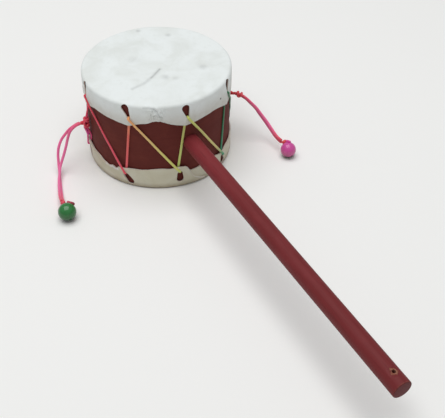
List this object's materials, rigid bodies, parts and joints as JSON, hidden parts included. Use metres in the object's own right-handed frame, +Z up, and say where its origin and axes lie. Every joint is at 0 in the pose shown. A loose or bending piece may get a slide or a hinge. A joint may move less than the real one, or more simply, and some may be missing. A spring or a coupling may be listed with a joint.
{
  "type": "handled drum",
  "caption": "Small two-headed rattle drum on a round stick, with white laced skins over a dark red wooden shell and beads on pink strings that strike the heads.",
  "frame": {"origin": "centre of the drum's underside, on the surface that it stands on", "axes": "+Z up through both heads, +X along the handle towards its free end"},
  "size_m": [0.2884, 0.154, 0.06],
  "materials": {
    "shell_paint": "thin matt dark red paint over turned wood",
    "handle_paint": "dark red paint over a wooden dowel, half gloss, chipped at the hole",
    "hide": "stretched white rawhide, satin, creased and cut by hand",
    "lacing_satin": "braided satin cord dyed in running colours",
    "pink_satin": "braided satin cord",
    "green_gloss": "glossy",
    "pink_gloss": "glossy"
  },
  "bodies": {
    "root": {"shell": "shell_paint", "upper_skin": "hide", "lower_skin": "hide", "handle": "handle_paint", "lacing_cord": "lacing_satin", "left_hitch": "pink_satin", "left_string_a": "pink_satin", "left_string_b": "pink_satin", "green_bead": "green_gloss", "green_knot": "pink_satin", "right_hitch": "pink_satin", "right_string_a": "pink_satin", "right_string_b": "pink_satin", "pink_bead": "pink_gloss", "pink_knot": "pink_satin"}
  },
  "joints": []
}
